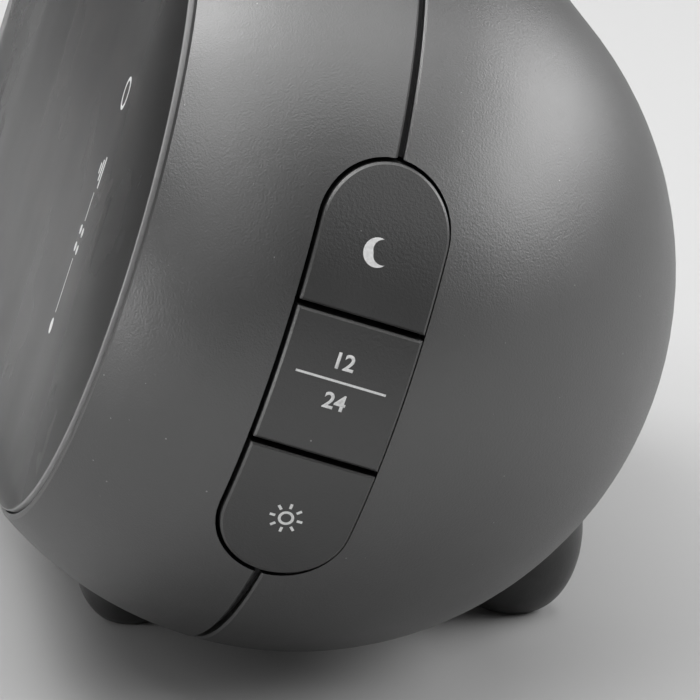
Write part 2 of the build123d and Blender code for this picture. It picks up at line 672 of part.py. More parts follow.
# Grille: a curved insert flush with the rear wall, with level slots
slot_count = int((GRILLE_RADIUS - GRILLE_EDGE) // GRILLE_PITCH)
with BuildPart() as speaker_grille:
    add(form_plug(discs(REAR_VIEW, [(0, 0)], GRILLE_RADIUS), GRILLE_THICKNESS))
    body_form(0, Mode.INTERSECT)
    for row in range(-slot_count, slot_count + 1):
        slot_z = row * GRILLE_PITCH
        slot_length = 2 * wall_depth(abs(slot_z) + GRILLE_SLOT / 2, GRILLE_RADIUS - GRILLE_EDGE)
        with BuildSketch(REAR_VIEW) as slot:
            with Locations((0, slot_z)):
                SlotOverall(slot_length, GRILLE_SLOT)
        extrude(slot.sketch, amount=reach, mode=Mode.SUBTRACT)
speaker_grille.part.label = "speaker_grille"
export_step(speaker_grille.part, "parts/speaker_grille.step")

# Battery hatch, its screw, the two cells and their contact plates
with BuildPart() as battery_hatch:
    add(form_plug(hatch_outline(0), HATCH_THICKNESS))
    body_form(0, Mode.INTERSECT)
    screw_head_seat = BODY_RADIUS - HATCH_SCREW_HEAD_HEIGHT
    head_sink = discs(HATCH_VIEW.offset(screw_head_seat), [hatch_screw_place], HATCH_SCREW_HEAD + FIT)
    extrude(head_sink, amount=reach, mode=Mode.SUBTRACT)
    extrude(discs(HATCH_VIEW, [hatch_screw_place], HATCH_SCREW_RADIUS), amount=reach, mode=Mode.SUBTRACT)
battery_hatch.part.label = "battery_hatch"
export_step(battery_hatch.part, "parts/battery_hatch.step")

hatch_head = (HATCH_SCREW_HEAD, HATCH_SCREW_HEAD_HEIGHT - FIT)
hatch_shank = (HATCH_SCREW_RADIUS - FIT, HATCH_SCREW_LENGTH)
with BuildPart() as hatch_screw:
    screw(HATCH_VIEW, screw_head_seat, [hatch_screw_place], hatch_head, hatch_shank)
hatch_screw.part.label = "hatch_screw"
export_step(hatch_screw.part, "parts/hatch_screw.step")

cell_end = CELL_LENGTH / 2
for number, side in ((1, 1), (2, -1)):
    place = (cell_height, side * cell_across)
    with BuildPart() as cell:
        extrude(discs(CELL_VIEW, [place], CELL_RADIUS), amount=cell_end, both=True)
        nub = discs(CELL_VIEW.offset(side * cell_end), [place], CELL_NUB_RADIUS)
        extrude(nub, amount=side * CELL_NUB_HEIGHT)
    cell.part.label = f"backup_cell_{number}"
    export_step(cell.part, f"parts/backup_cell_{number}.step")

tray_end = tray_length / 2
with BuildPart() as battery_contacts:
    for side in (-1, 1):
        for end in (-1, 1):
            place = (cell_height, side * cell_across)
            touch = cell_end + FIT + (CELL_NUB_HEIGHT if side == end else 0)
            wall_plane = CELL_VIEW.offset(end * tray_end)
            extrude(plate(wall_plane, place, CONTACT_SIDE, CONTACT_SIDE), amount=-end * CONTACT_THICKNESS)
            extrude(discs(wall_plane, [place], CONTACT_DIMPLE_RADIUS), amount=-end * (tray_end - touch))
battery_contacts.part.label = "battery_contacts"
export_step(battery_contacts.part, "parts/battery_contacts.step")

# Power inlet: a round socket with its centre pin
with BuildPart() as dc_jack:
    extrude(discs(REAR_VIEW.offset(inlet_floor), [inlet_place], JACK_RADIUS), amount=-JACK_LENGTH)
    extrude(discs(REAR_VIEW.offset(inlet_back), [inlet_place], JACK_COLLAR_RADIUS), amount=-JACK_COLLAR)
    bore = discs(REAR_VIEW.offset(inlet_floor), [inlet_place], JACK_BORE)
    extrude(bore, amount=-JACK_BORE_DEPTH, mode=Mode.SUBTRACT)
dc_jack.part.label = "dc_jack"
export_step(dc_jack.part, "parts/dc_jack.step")

with BuildPart() as dc_jack_pin:
    jack_floor = REAR_VIEW.offset(inlet_floor - JACK_BORE_DEPTH)
    extrude(discs(jack_floor, [inlet_place], JACK_PIN_RADIUS), amount=JACK_PIN_LENGTH)
    chamfer(dc_jack_pin.edges().sort_by(Axis(CENTRE, BACK))[-1], JACK_PIN_RADIUS / 2)
dc_jack_pin.part.label = "dc_jack_pin"
export_step(dc_jack_pin.part, "parts/dc_jack_pin.step")

# Feet: soft domes that flare up from a small flat sole, trimmed to the body and held by a stem
for row, foot_y, sole, flare, flare_height in (
    ("front", FRONT_FOOT_Y, FRONT_SOLE_RADIUS, FRONT_FLARE, FRONT_FLARE_HEIGHT),
    ("rear", REAR_FOOT_Y, REAR_SOLE_RADIUS, REAR_FLARE, REAR_FLARE_HEIGHT),
):
    for side, place in zip(("left", "right"), stem_places(foot_y)):
        foot_axis = Axis(place, (0, 0, 1))
        with BuildPart() as foot:
            with BuildSketch(Plane(origin=place, x_dir=RIGHT, z_dir=(0, -1, 0))) as half_section:
                with BuildLine():
                    bottom = Line((0, 0), (sole, 0))
                    dome = EllipticalCenterArc(
                        (sole, flare_height), flare, flare_height, start_angle=-90, arc_size=90
                    )
                    flank = Line(dome @ 1, (sole + flare, CENTRE.Z))
                    Polyline(flank @ 1, (0, CENTRE.Z), bottom @ 0)
                make_face()
            revolve(half_section.sketch, axis=foot_axis)
            body_form(-FIT, Mode.SUBTRACT)
            stem_base = stem_top(foot_y) - FOOT_STEM_RISE - FOOT_STEM_RADIUS
            stem = discs(Plane.XY.offset(stem_base), [place], FOOT_STEM_RADIUS)
            extrude(stem, amount=stem_top(foot_y) - stem_base)
        foot.part.label = f"{row}_foot_{side}"
        export_step(foot.part, f"parts/{row}_foot_{side}.step")


def push_switch(view, face, place):
    """A switch body standing on a board, with the well its plunger moves in."""
    with BuildPart() as body:
        extrude(plate(view.offset(face), place, SWITCH_SIDE, SWITCH_SIDE), amount=SWITCH_HEIGHT)
        well = discs(view.offset(face + SWITCH_HEIGHT), [place], PLUNGER_RADIUS + PLUNGER_CLEARANCE)
        extrude(well, amount=-SWITCH_WELL, mode=Mode.SUBTRACT)
    return body.part


def plunger(view, face, place):
    """The round plunger of a switch, from inside its well to the key's stem."""
    with BuildPart() as peg:
        peg_foot = discs(view.offset(face + SWITCH_HEIGHT - PLUNGER_DEPTH), [place], PLUNGER_RADIUS)
        extrude(peg_foot, amount=PLUNGER_DEPTH + PLUNGER_RISE)
    return peg.part


def key_stem(view, top, place, form):
    """The stem under a key, from its plunger into the key's skin."""
    with BuildPart() as stem:
        extrude(discs(view.offset(top), [place], STEM_RADIUS), amount=reach)
        form(KEY_SKIN / 2, Mode.INTERSECT)
    return stem.part


def end_key(low, high):
    """One key of the right end between two heights: hollow cap, retaining flange and stem."""
    with BuildPart() as flange:
        extrude(key_outline(flange_grow, low, high), amount=reach)
        key_form(flange_inset, Mode.INTERSECT)
        key_form(key_base, Mode.SUBTRACT)
    with BuildPart() as hollow:
        extrude(key_outline(-KEY_WALL, low + KEY_WALL, high - KEY_WALL), amount=reach)
        key_form(KEY_SKIN, Mode.INTERSECT)
    with BuildPart() as cap:
        extrude(key_outline(0, low, high), amount=reach)
        key_form(-KEY_PROUD, Mode.INTERSECT)
        crown = cap.faces().filter_by(GeomType.PLANE, reverse=True).sort_by(Axis(CENTRE, RIGHT))[-1]
        chamfer(crown.edges(), KEY_BEVEL)
        key_form(key_base, Mode.SUBTRACT)
        add(flange.part)
        add(hollow.part, mode=Mode.SUBTRACT)
        add(key_stem(END_VIEW, key_plunger_top, (key_y, (low + high) / 2), key_form))
    return cap.part


def export_pair(name, piece):
    """Exports a piece of the right end and its mirror image in the left end."""
    piece.label = f"right_{name}"
    export_step(piece, f"parts/right_{name}.step")
    twin = mirror(piece, about=Plane.YZ)
    twin.label = f"left_{name}"
    export_step(twin, f"parts/left_{name}.step")


# Keys of both ends with their switches and plungers, and the boards they stand on
for number, name in enumerate(("lower", "middle", "upper")):
    low = aperture_foot + number * KEY_PITCH + (KEY_SPLIT / 2 if number > 0 else 0)
    high = aperture_foot + (number + 1) * KEY_PITCH - KEY_SPLIT / 2 if number < 2 else aperture_top
    place = (key_y, (low + high) / 2)
    export_pair(f"key_{name}", end_key(low, high))
    export_pair(f"switch_{name}", push_switch(END_VIEW, key_board_face, place))
    export_pair(f"plunger_{name}", plunger(END_VIEW, key_board_face, place))
key_board_size = (KEY_BOARD_WIDTH, APERTURE_HEIGHT)
export_pair("key_board", board("key_board", END_VIEW, key_board_face, (0, APERTURE_Z), key_board_size, []))

# Snooze bar on top, across the seam, with its board, switch and plunger
with BuildPart() as snooze_hollow:
    extrude(snooze_outline(SNOOZE_GAP + KEY_WALL, snooze_base), amount=reach)
    body_form(KEY_SKIN, Mode.INTERSECT)

with BuildPart() as snooze_bar:
    extrude(snooze_outline(SNOOZE_GAP, snooze_base), amount=reach)
    body_form(-SNOOZE_PROUD, Mode.INTERSECT)
    crown = snooze_bar.faces().filter_by(GeomType.CYLINDER).sort_by(Axis(CENTRE, UP))[-1]
    chamfer(crown.edges(), KEY_BEVEL)
    extrude(snooze_outline(-FLANGE_REACH, snooze_base), amount=FLANGE_THICKNESS)
    add(snooze_hollow.part, mode=Mode.SUBTRACT)
    add(key_stem(TOP_VIEW, snooze_plunger_top, (0, 0), body_form))
snooze_bar.part.label = "snooze_bar"
export_step(snooze_bar.part, "parts/snooze_bar.step")

snooze_board_size = (SNOOZE_BOARD_LENGTH, SNOOZE_BOARD_WIDTH)
snooze_board = board("snooze_board", TOP_VIEW, snooze_board_face, (0, 0), snooze_board_size, [])
export_step(snooze_board, "parts/snooze_board.step")
snooze_switch = push_switch(TOP_VIEW, snooze_board_face, (0, 0))
snooze_switch.label = "snooze_switch"
export_step(snooze_switch, "parts/snooze_switch.step")
snooze_plunger = plunger(TOP_VIEW, snooze_board_face, (0, 0))
snooze_plunger.label = "snooze_plunger"
export_step(snooze_plunger, "parts/snooze_plunger.step")
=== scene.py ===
import json
import math

import bmesh
import bpy
from mathutils import Matrix, Vector


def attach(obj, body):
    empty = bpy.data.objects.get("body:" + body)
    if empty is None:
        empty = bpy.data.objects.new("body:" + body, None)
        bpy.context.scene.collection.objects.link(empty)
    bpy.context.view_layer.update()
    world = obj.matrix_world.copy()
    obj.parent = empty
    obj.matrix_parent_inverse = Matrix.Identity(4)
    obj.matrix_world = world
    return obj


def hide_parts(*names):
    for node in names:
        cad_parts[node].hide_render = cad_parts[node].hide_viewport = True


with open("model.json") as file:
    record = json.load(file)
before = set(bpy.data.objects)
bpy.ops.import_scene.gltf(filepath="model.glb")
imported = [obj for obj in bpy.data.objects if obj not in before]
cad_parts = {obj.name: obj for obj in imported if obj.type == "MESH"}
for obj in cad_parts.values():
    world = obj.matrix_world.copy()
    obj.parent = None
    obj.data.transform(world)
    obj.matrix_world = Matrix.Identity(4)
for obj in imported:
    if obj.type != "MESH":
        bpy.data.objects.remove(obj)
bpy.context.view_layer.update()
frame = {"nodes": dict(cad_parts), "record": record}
nodes = frame["nodes"]

# The clock's own frame, in metres: the barrel's middle and the way it leans back
MM = 0.001
BODY_RADIUS = 42.0 * MM
CAP_DEPTH = 50.7 * MM
HALF_BARREL = 42.0 * MM
KEY_PROUD = 0.1 * MM
WINDOW_FACE = 23.6 * MM
WINDOW_THICKNESS = 2.2 * MM
WINDOW_CLEARANCE = 0.1 * MM
LEAN = math.radians(18.1)
CENTRE = Vector((0.0, -4.5365, 44.0)) * MM
RIGHT = Vector((1.0, 0.0, 0.0))
BACK = Vector((0.0, math.cos(LEAN), -math.sin(LEAN)))
UP = Vector((0.0, math.sin(LEAN), math.cos(LEAN)))
SEAM_DEPTH = CENTRE.dot(BACK)
MERGE = 0.001 * MM

# Finishes: the part of a noise that is used, the plastic's cloudiness, its dust and the painted shade in
# its parting seam
NOISE_LOW = 0.3
NOISE_HIGH = 0.7
CLOUD_SIZE = 9.0 * MM
CLOUD_SPREAD = 0.12
SHEEN_SPREAD = 0.05
DUST_SPACING = 1.7 * MM
DUST_RADIUS = 0.1 * MM
DUST_TONE = 0.22
CLEAN_SHARE = 0.45
# How far either side of the seam plane the painted seam shade reaches, and its near-black tone
SEAM_REACH = 0.34 * MM
SEAM_SHADE_TONE = 0.003

# The smoked window: how much it covers, its tones and the band below its face where a pale painted
# highlight runs round the edge
WINDOW_COVER = 0.56
SMOKE_TONE = 0.012
EDGE_HIGHLIGHT_TONE = 0.5
EDGE_HIGHLIGHT_BAND = 1.0 * MM

# Printed marks: film thickness, how far it sinks into the surface, and line widths
FILM = 0.05 * MM
FILM_SINK = 0.02 * MM
KEY_LINE = 0.3 * MM
WINDOW_LINE = 0.45 * MM
THREAD_LINE = 0.24 * MM
DIVIDER_LINE = 0.25 * MM
NUMBER_HEIGHT = 1.8 * MM
DIGIT_WEIGHT = 0.022

# Marks on the keys: heights from the barrel's middle, and sizes
UPPER_MARK = 12.4 * MM
RING_MARK = -1.6 * MM
LOWER_MARK = -17.9 * MM
MOON_RADIUS = 1.5 * MM
MOON_WIDTH = 1.1 * MM
MOON_START = math.radians(75)
MOON_SWEEP = math.radians(240)
DIVIDER_LENGTH = 9.9 * MM
SUN_RADIUS = 0.85 * MM
SUN_RAYS = 8
RAY_LENGTH = 0.6 * MM
RAY_MIDDLE = 1.5 * MM
STEP_RADIUS = 1.3 * MM
CHOICE_RADIUS = 1.3 * MM

# Marks on the window: their column, heights from the barrel's middle, and sizes
MARK_COLUMN = 42.6 * MM
RING_HEIGHT = 13.1 * MM
BARS_HEIGHT = 4.1 * MM
DOTS_HEIGHT = -4.0 * MM
SPOT_HEIGHT = -14.1 * MM
RING_RADIUS = 1.9 * MM
BAR_STEP = 1.3 * MM
BAR_LENGTHS = (1.2 * MM, 2.4 * MM, 3.6 * MM)
BAR_WIDTH = 0.6 * MM
DOT_STEP = 1.0 * MM
DOT_RADIUS = 0.55 * MM
SPOT_RADIUS = 0.9 * MM
BARS_CLEAR = 2.6 * MM
DOTS_CLEAR = 2.2 * MM
SPOT_CLEAR = 1.6 * MM

# Screws: places, and head radius, head height, shank radius and length of the pieces they stand for
CASE_SCREW_X = 40.0 * MM
CASE_SCREW_Z = 24.0 * MM
CASE_SCREW_SEAT = 7.0 * MM
CASE_SCREW_SIZES = (2.8 * MM, 1.9 * MM, 1.2 * MM, 12.0 * MM)
HATCH_ANGLE = math.radians(66.0)
HATCH_SCREW_X = 31.75 * MM
HATCH_SCREW_SEAT = 41.1 * MM
HATCH_SCREW_SIZES = (2.2 * MM, 0.8 * MM, 1.0 * MM, 7.0 * MM)

# Screw forms: the head in shares of its radius and height, the point in shank radii, the recess in shares
HEAD_OUTLINE = ((0.0, 1.0), (0.55, 1.0), (0.85, 0.86), (1.0, 0.5), (1.0, 0.0))
POINT_LENGTH = 1.2
POINT_RADIUS = 0.3
RECESS_LENGTH = 1.2
RECESS_WIDTH = 0.3
RECESS_DEPTH = 1.2
SCREW_SIDES = 32

# The photograph's view: angles, distance, lens, and the aim's shift from the middle of the right end
VIEW_AZIMUTH = math.radians(83.5)
VIEW_ELEVATION = math.radians(13.117)
VIEW_DISTANCE = 840.0 * MM
VIEW_ACROSS = 6.3 * MM
VIEW_DOWN = 9.42 * MM
LENS = 391.6
SENSOR = 36.0

# Floor, surround and lamps: each lamp's place, aim, width, height and brightness over its face
FLOOR_HALF = 3.0
FLOOR_TONE = 0.55
SKY_TONE = 0.04
HORIZON_TONE = 0.5
LIT_SPOT = (0.04, 0.0, 0.05)
LAMPS = (
    ("overhead", (-0.16, 0.16, 1.1), (-0.14, 0.16, 0.0), 1.1, 1.15, 1.7),
    ("window side", (-0.36, -0.34, 0.88), LIT_SPOT, 0.4, 0.4, 5.4),
    ("behind", (-0.2, 1.37, 0.8), LIT_SPOT, 2.1, 0.75, 3.3),
    ("right", (0.78, 0.52, 0.68), LIT_SPOT, 0.5, 0.5, 1.1),
    ("front", (0.76, -0.61, 0.79), LIT_SPOT, 0.7, 0.9, 0.9),
    ("low front", (0.18, -0.95, 0.12), LIT_SPOT, 0.45, 0.18, 7.0),
    ("high front", (0.18, -0.51, 0.9), LIT_SPOT, 0.45, 0.4, 2.6),
)


# Finishes

def new_finish(name):
    """An empty node material, its node tree and its shader."""
    finish = bpy.data.materials.new(name)
    finish.use_nodes = True
    return finish, finish.node_tree, finish.node_tree.nodes["Principled BSDF"]


def add_coords(tree):
    """The piece's own coordinates, in metres."""
    return tree.nodes.new("ShaderNodeTexCoord").outputs["Object"]


def add_noise(tree, coords, size, detail=2.0, roughness=0.5):
    """Noise whose features are about size metres across."""
    noise = tree.nodes.new("ShaderNodeTexNoise")
    noise.inputs["Scale"].default_value = 1.0 / size
    noise.inputs["Detail"].default_value = detail
    noise.inputs["Roughness"].default_value = roughness
    tree.links.new(coords, noise.inputs["Vector"])
    return noise.outputs["Fac"]


def add_bump(tree, height, strength, depth):
    """Bump of a given depth in metres."""
    bump = tree.nodes.new("ShaderNodeBump")
    bump.inputs["Strength"].default_value = strength
    bump.inputs["Distance"].default_value = depth
    tree.links.new(height, bump.inputs["Height"])
    return bump.outputs["Normal"]


def add_ramp(tree, value, *stops):
    """A ramp through colours, each given with its place."""
    ramp = tree.nodes.new("ShaderNodeValToRGB")
    elements = ramp.color_ramp.elements
    for element, (place, colour) in zip(elements[:], (stops[0], stops[-1])):
        element.position = place
        element.color = (*colour, 1.0)
    for place, colour in stops[1:-1]:
        elements.new(place).color = (*colour, 1.0)
    tree.links.new(value, ramp.inputs["Fac"])
    return ramp.outputs["Color"]


def add_mottle(tree, noise, low, high):
    """Colour that wanders between two tones with a noise."""
    return add_ramp(tree, noise, (NOISE_LOW, low), (NOISE_HIGH, high))


def add_range(tree, value, start, end, low=0.0, high=1.0):
    """A value between start and end, mapped to a range of numbers."""
    mapped = tree.nodes.new("ShaderNodeMapRange")
    mapped.inputs["From Min"].default_value = start
    mapped.inputs["From Max"].default_value = end
    mapped.inputs["To Min"].default_value = low
    mapped.inputs["To Max"].default_value = high
    tree.links.new(value, mapped.inputs["Value"])
    return mapped.outputs["Result"]


def add_depth(tree, coords, direction):
    """How far along a direction each point of a piece lies."""
    depth = tree.nodes.new("ShaderNodeVectorMath")
    depth.operation = "DOT_PRODUCT"
    depth.inputs[1].default_value = direction
    tree.links.new(coords, depth.inputs[0])
    return depth.outputs["Value"]


def add_blend(tree, kind, mask, outside, inside):
    """One number or colour outside a mask and a fixed one inside it."""
    blend = tree.nodes.new("ShaderNodeMix")
    blend.data_type = kind
    factor, first, second = [socket for socket in blend.inputs if socket.enabled]
    tree.links.new(mask, factor)
    tree.links.new(outside, first)
    second.default_value = inside
    return next(socket for socket in blend.outputs if socket.enabled)


def grey(tone, warmth=0.0):
    """A neutral colour, a little warm or cool."""
    return (tone * (1 + warmth), tone, tone * (1 - warmth))


def add_dust(tree, coords, clean):
    """Sparse pale specks, up to a fifth of a millimetre across, over a clean colour."""
    cells = tree.nodes.new("ShaderNodeTexVoronoi")
    cells.inputs["Scale"].default_value = 1.0 / DUST_SPACING
    tree.links.new(coords, cells.inputs["Vector"])
    split = tree.nodes.new("ShaderNodeSeparateColor")
    tree.links.new(cells.outputs["Color"], split.inputs["Color"])
    reach = add_range(tree, split.outputs["Red"], CLEAN_SHARE, 1.0, high=DUST_RADIUS / DUST_SPACING)
    inside = tree.nodes.new("ShaderNodeMath")
    inside.operation = "LESS_THAN"
    tree.links.new(cells.outputs["Distance"], inside.inputs[0])
    tree.links.new(reach, inside.inputs[1])
    return add_blend(tree, "RGBA", inside.outputs["Value"], clean, (*grey(DUST_TONE), 1.0))


def find_seam_shade(tree, coords):
    """A mask that is one inside the parting seam and nothing on the outer skin: where shade is painted
    into the groove.
    """
    inside = tree.nodes.new("ShaderNodeMath")
    inside.operation = "COMPARE"
    inside.inputs[1].default_value = SEAM_DEPTH
    inside.inputs[2].default_value = SEAM_REACH
    tree.links.new(add_depth(tree, coords, BACK), inside.inputs[0])
    return inside.outputs["Value"]


def moulded_plastic(name, tone, dullness, grain, depth, density=1.5, painted_seam_shade=False):
    """Black moulded plastic: fine spark-eroded grain, faint cloudiness, uneven sheen, a little dust and,
    if asked, painted shade in the parting seam.
    """
    finish, tree, shader = new_finish(name)
    coords = add_coords(tree)
    fine = add_noise(tree, coords, grain, detail=3.0, roughness=0.6)
    cloud = add_noise(tree, coords, CLOUD_SIZE, detail=3.0)
    clean = add_mottle(tree, cloud, grey(tone * (1 - CLOUD_SPREAD)), grey(tone * (1 + CLOUD_SPREAD)))
    skin = add_dust(tree, coords, clean)
    smooth, rough = dullness * (1 - SHEEN_SPREAD), dullness * (1 + SHEEN_SPREAD)
    sheen = add_range(tree, cloud, NOISE_LOW, NOISE_HIGH, smooth, rough)
    # Painted shade: the tongue inside the parting seam is made near black and fully rough, standing in for
    # the shadow in the groove.
    if painted_seam_shade:
        seam = find_seam_shade(tree, coords)
        skin = add_blend(tree, "RGBA", seam, skin, (*grey(SEAM_SHADE_TONE), 1.0))
        sheen = add_blend(tree, "FLOAT", seam, sheen, 1.0)
    tree.links.new(skin, shader.inputs["Base Color"])
    tree.links.new(sheen, shader.inputs["Roughness"])
    tree.links.new(add_bump(tree, fine, 1.0, depth), shader.inputs["Normal"])
    shader.inputs["IOR"].default_value = density
    shader.inputs["Specular IOR Level"].default_value = 1.0
    return finish


def smoked_plate(name):
    """Dark smoked acrylic: half see-through, faintly wiped, with a pale painted highlight on its edges."""
    finish, tree, shader = new_finish(name)
    coords = add_coords(tree)
    wipe = add_noise(tree, coords, 20.0 * MM, detail=3.0)
    sheen = add_range(tree, wipe, NOISE_LOW, NOISE_HIGH, 0.26, 0.31)
    face = WINDOW_FACE - SEAM_DEPTH
    # Painted highlight: a pale band on the plate's edge, just below its face, stands in for the glint of
    # the polished edge.
    depth = add_range(tree, add_depth(tree, coords, -BACK), face - EDGE_HIGHLIGHT_BAND, face)
    smoke, pale = grey(SMOKE_TONE), grey(EDGE_HIGHLIGHT_TONE)
    tint = add_ramp(tree, depth, (0.0, smoke), (0.2, pale), (0.88, pale), (0.98, smoke))
    tree.links.new(sheen, shader.inputs["Roughness"])
    tree.links.new(tint, shader.inputs["Base Color"])
    shader.inputs["Alpha"].default_value = WINDOW_COVER
    return finish


def soft_rubber(name):
    """Black rubber: dull, slightly dusty, with a fine matt skin."""
    finish, tree, shader = new_finish(name)
    coords = add_coords(tree)
    dust = add_noise(tree, coords, 2.5 * MM, detail=5.0)
    skin = add_noise(tree, coords, 0.3 * MM)
    tree.links.new(add_mottle(tree, dust, grey(0.02), grey(0.034)), shader.inputs["Base Color"])
    tree.links.new(add_bump(tree, skin, 0.6, 0.02 * MM), shader.inputs["Normal"])
    shader.inputs["Roughness"].default_value = 0.38
    return finish


def white_print(name, tone):
    """Pad-printed white ink: slightly uneven cover."""
    finish, tree, shader = new_finish(name)
    cover = add_noise(tree, add_coords(tree), 0.35 * MM, detail=3.0)
    tree.links.new(add_mottle(tree, cover, grey(tone * 0.8), grey(tone)), shader.inputs["Base Color"])
    shader.inputs["Roughness"].default_value = 0.5
    return finish


def plated_metal(name, colour, dullness):
    """Plated metal with a little tarnish."""
    finish, tree, shader = new_finish(name)
    tarnish = add_noise(tree, add_coords(tree), 1.5 * MM, detail=4.0)
    tint = add_mottle(tree, tarnish, [part * 0.75 for part in colour], colour)
    sheen = add_range(tree, tarnish, NOISE_LOW, NOISE_HIGH, dullness, dullness * 1.5)
    tree.links.new(tint, shader.inputs["Base Color"])
    tree.links.new(sheen, shader.inputs["Roughness"])
    shader.inputs["Metallic"].default_value = 1.0
    return finish


def coated(name, low, high, size, dullness):
    """A painted, lacquered or papery surface with mottled colour."""
    finish, tree, shader = new_finish(name)
    mottle = add_noise(tree, add_coords(tree), size, detail=4.0)
    tree.links.new(add_mottle(tree, mottle, low, high), shader.inputs["Base Color"])
    tree.links.new(add_bump(tree, mottle, 0.3, 0.02 * MM), shader.inputs["Normal"])
    shader.inputs["Roughness"].default_value = dullness
    return finish


finishes = {
    # The housing's finish paints shade into its parting seam.
    "housing": moulded_plastic("housing_plastic", 0.018, 0.4, 0.24 * MM, 0.042 * MM, 1.62, painted_seam_shade=True),
    "keys": moulded_plastic("key_plastic", 0.016, 0.4, 0.3 * MM, 0.046 * MM),
    "window": smoked_plate("smoked_window"),
    "feet": soft_rubber("foot_rubber"),
    "display": coated("display_carrier", grey(0.012), grey(0.02), 0.5 * MM, 0.7),
    "segments": coated("unlit_segment", (0.3, 0.26, 0.25), (0.36, 0.31, 0.3), 0.6 * MM, 0.5),
    "boards": coated("board_lacquer", (0.012, 0.07, 0.03), (0.02, 0.11, 0.045), 2.0 * MM, 0.35),
    "switches": coated("switch_body", grey(0.02), grey(0.03), 0.4 * MM, 0.5),
    "plungers": coated("plunger_plastic", grey(0.55, 0.04), grey(0.62, 0.04), 0.5 * MM, 0.45),
    "steel": plated_metal("screw_steel", (0.5, 0.5, 0.52), 0.3),
    "contacts": plated_metal("nickel_plate", (0.62, 0.6, 0.56), 0.22),
    "speaker_frame": coated("speaker_paint", grey(0.03), grey(0.045), 0.5 * MM, 0.45),
    "paper": coated("cone_paper", grey(0.02), grey(0.035), 0.35 * MM, 0.85),
    "magnet": coated("magnet_ferrite", grey(0.06), grey(0.1), 0.4 * MM, 0.6),
    "cells": coated("cell_sleeve", (0.07, 0.08, 0.1), (0.09, 0.1, 0.13), 5.0 * MM, 0.3),
    "socket": moulded_plastic("socket_plastic", 0.02, 0.4, 0.25 * MM, 0.01 * MM),
    "print": white_print("key_ink", 0.86),
}
window_ink = white_print("window_ink", 0.85)
for entry in frame["record"]["subparts"]:
    shown = nodes[entry["node"]]
    shown.data.materials.clear()
    shown.data.materials.append(finishes[entry["material_slot"]])


# Pieces

def add_object(name, data):
    """An object at the origin that shows a mesh, a lamp, a camera or text."""
    holder = bpy.data.objects.new(name, data)
    bpy.context.scene.collection.objects.link(holder)
    return holder


def shape_to_mesh(name, shape):
    """A mesh made from a finished shape, which is then done with."""
    mesh = bpy.data.meshes.new(name)
    shape.to_mesh(mesh)
    shape.free()
    return mesh


def keep_piece(name, shape, finish, body):
    """Makes a finished shape a piece that rides a body."""
    piece = add_object(name, shape_to_mesh(name, shape))
    piece.data.materials.append(finish)
    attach(piece, body)
    return piece


# Printed marks, drawn flat in metres with the reader's right as +X

def draw_disc(shape, place, radius, sides=32):
    """A filled circle, or a filled polygon with few sides."""
    centre = Matrix.Translation((*place, 0.0))
    return bmesh.ops.create_circle(shape, cap_ends=True, segments=sides, radius=radius, matrix=centre)


def draw_bar(shape, place, length, width, turn=0.0):
    """A filled bar with its length turned from the reader's right."""
    middle = Matrix.Translation((*place, 0.0)) @ Matrix.Rotation(turn, 4, "Z")
    middle = middle @ Matrix.Diagonal((length / 2, width / 2, 1.0, 1.0))
    bmesh.ops.create_grid(shape, x_segments=1, y_segments=1, size=1.0, matrix=middle)


def draw_ring(shape, place, radius, width):
    """A circular line of a given width."""
    middle = Vector((*place, 0.0))
    outer = bmesh.ops.create_circle(shape, segments=48, radius=radius, matrix=Matrix.Translation(middle))
    edges = dict.fromkeys(edge for corner in outer["verts"] for edge in corner.link_edges)
    band = bmesh.ops.extrude_edge_only(shape, edges=list(edges))
    inner = [part for part in band["geom"] if isinstance(part, bmesh.types.BMVert)]
    shrink = (radius - width) / radius
    bmesh.ops.scale(shape, verts=inner, vec=(shrink, shrink, 1.0), space=Matrix.Translation(-middle))


def draw_crescent(shape, place, radius, width, start, sweep):
    """A crescent whose horns run out at both ends of its sweep."""
    strip = bmesh.ops.create_grid(shape, x_segments=32, y_segments=1, size=1.0)
    for corner in strip["verts"]:
        along = (corner.co.x + 1) / 2
        angle = start + sweep * along
        inward = width * math.sin(math.pi * along) * (1 - corner.co.y) / 2
        reach = radius - inward
        corner.co = Vector((place[0] + reach * math.cos(angle), place[1] + reach * math.sin(angle), 0.0))


def draw_number(shape, digits, place):
    """Plain digits, centred on a place."""
    curve = bpy.data.curves.new("digits", "FONT")
    curve.body = digits
    curve.offset = DIGIT_WEIGHT
    holder = add_object("digits", curve)
    mesh = bpy.data.meshes.new_from_object(holder)
    bpy.data.objects.remove(holder)
    bpy.data.curves.remove(curve)
    low = [min(corner.co[axis] for corner in mesh.vertices) for axis in (0, 1)]
    high = [max(corner.co[axis] for corner in mesh.vertices) for axis in (0, 1)]
    size = NUMBER_HEIGHT / (high[1] - low[1])
    middle = Vector(((low[0] + high[0]) / 2, (low[1] + high[1]) / 2, 0.0))
    mesh.transform(Matrix.Translation((*place, 0.0)) @ Matrix.Scale(size, 4) @ Matrix.Translation(-middle))
    shape.from_mesh(mesh)
    bpy.data.meshes.remove(mesh)


def key_surface(side):
    """Lays a drawing on the keys of one end: side 1 for the right end, -1 for the left."""
    def spot(across, height, lift):
        depth = (CAP_DEPTH + KEY_PROUD) * math.sqrt(1 - (height / (BODY_RADIUS + KEY_PROUD)) ** 2)
        out = HALF_BARREL + depth + lift
        return CENTRE + RIGHT * side * out + BACK * side * across + UP * height
    return spot


def window_surface(across, height, lift):
    """Lays a drawing on the face of the window."""
    return CENTRE + RIGHT * across + UP * height - BACK * (WINDOW_FACE + lift)


